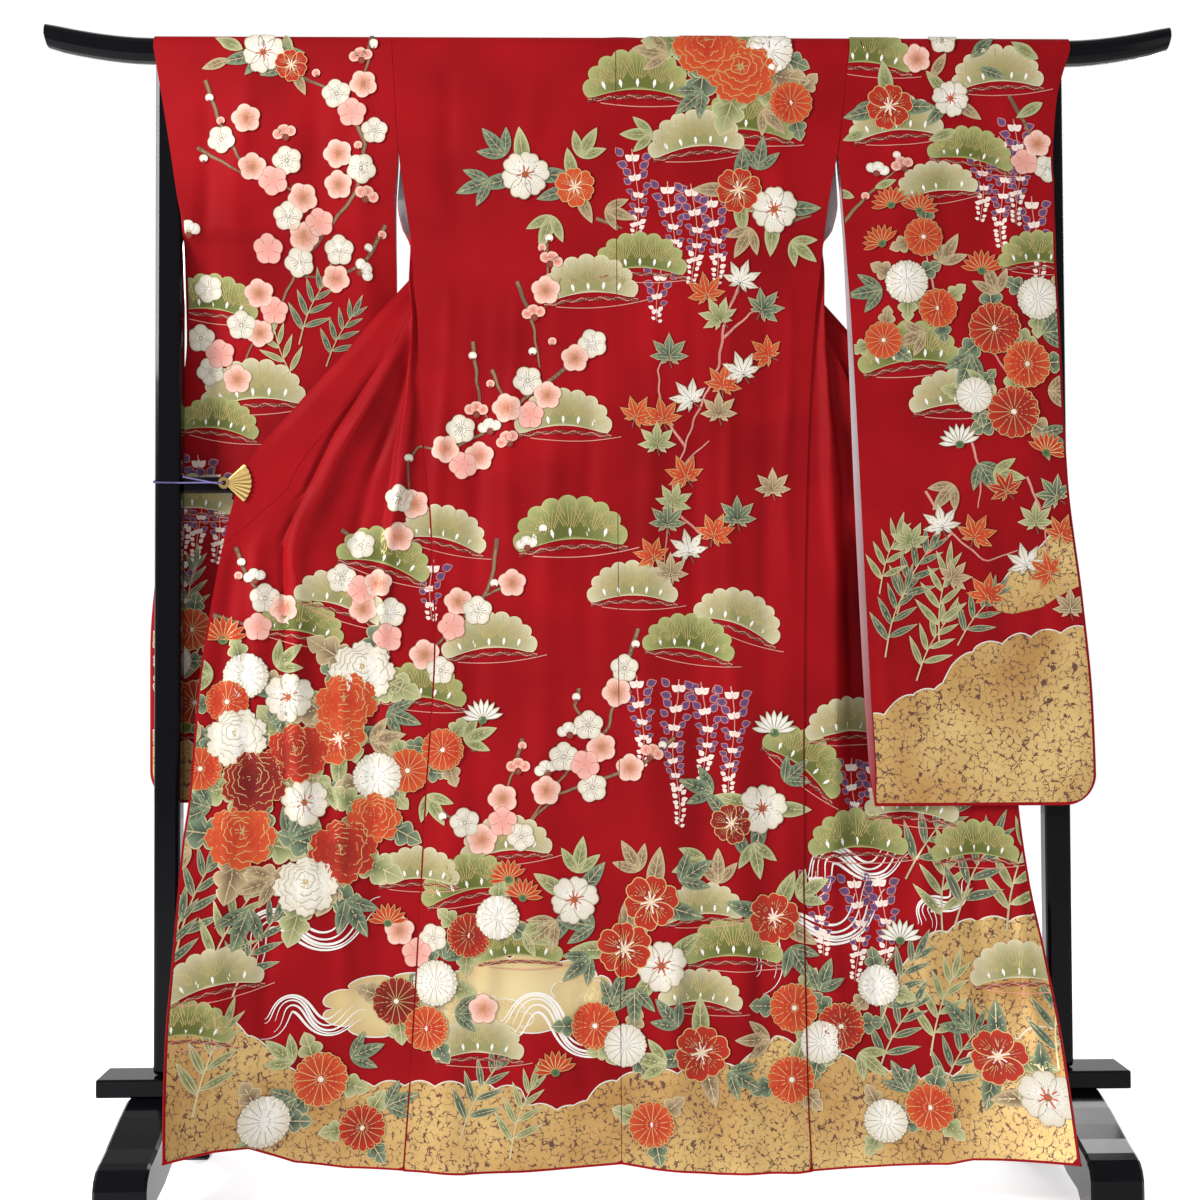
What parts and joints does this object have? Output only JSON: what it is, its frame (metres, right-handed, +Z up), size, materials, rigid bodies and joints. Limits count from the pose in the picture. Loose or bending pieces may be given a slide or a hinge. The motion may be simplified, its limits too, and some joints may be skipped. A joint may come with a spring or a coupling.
{
  "type": "furisode on kimono stand",
  "caption": "Long-sleeved formal kimono in printed red silk crepe, spread back outwards over a gloss black kimono stand, one front held out by a fan-shaped clip.",
  "frame": {"origin": "on the floor, at the centre of the part's bounding box seen from above, midway between the stand's feet", "axes": "+Z up; -Y is the side that the garment's back faces, seen by the viewer; +X to the viewer's right along the top bar"},
  "size_m": [1.617, 0.468, 1.6659],
  "materials": {
    "black_lacquer": "gloss lacquer",
    "red_crepe_silk": "crepe silk with a printed pattern",
    "gold_metal": "satin gold",
    "purple_silk_cord": "twisted silk"
  },
  "bodies": {
    "root": {"body_left": "red_crepe_silk", "body_right": "red_crepe_silk", "okumi_left": "red_crepe_silk", "okumi_right": "red_crepe_silk", "sleeve_left": "red_crepe_silk", "sleeve_right": "red_crepe_silk", "collar_left": "red_crepe_silk", "collar_right": "red_crepe_silk", "collar_back": "red_crepe_silk", "top_bar": "black_lacquer", "post_left": "black_lacquer", "post_right": "black_lacquer", "middle_rail": "black_lacquer", "stretcher_plank": "black_lacquer", "foot_left": "black_lacquer", "foot_right": "black_lacquer", "clip": "gold_metal", "tie_cord": "purple_silk_cord"}
  },
  "joints": []
}
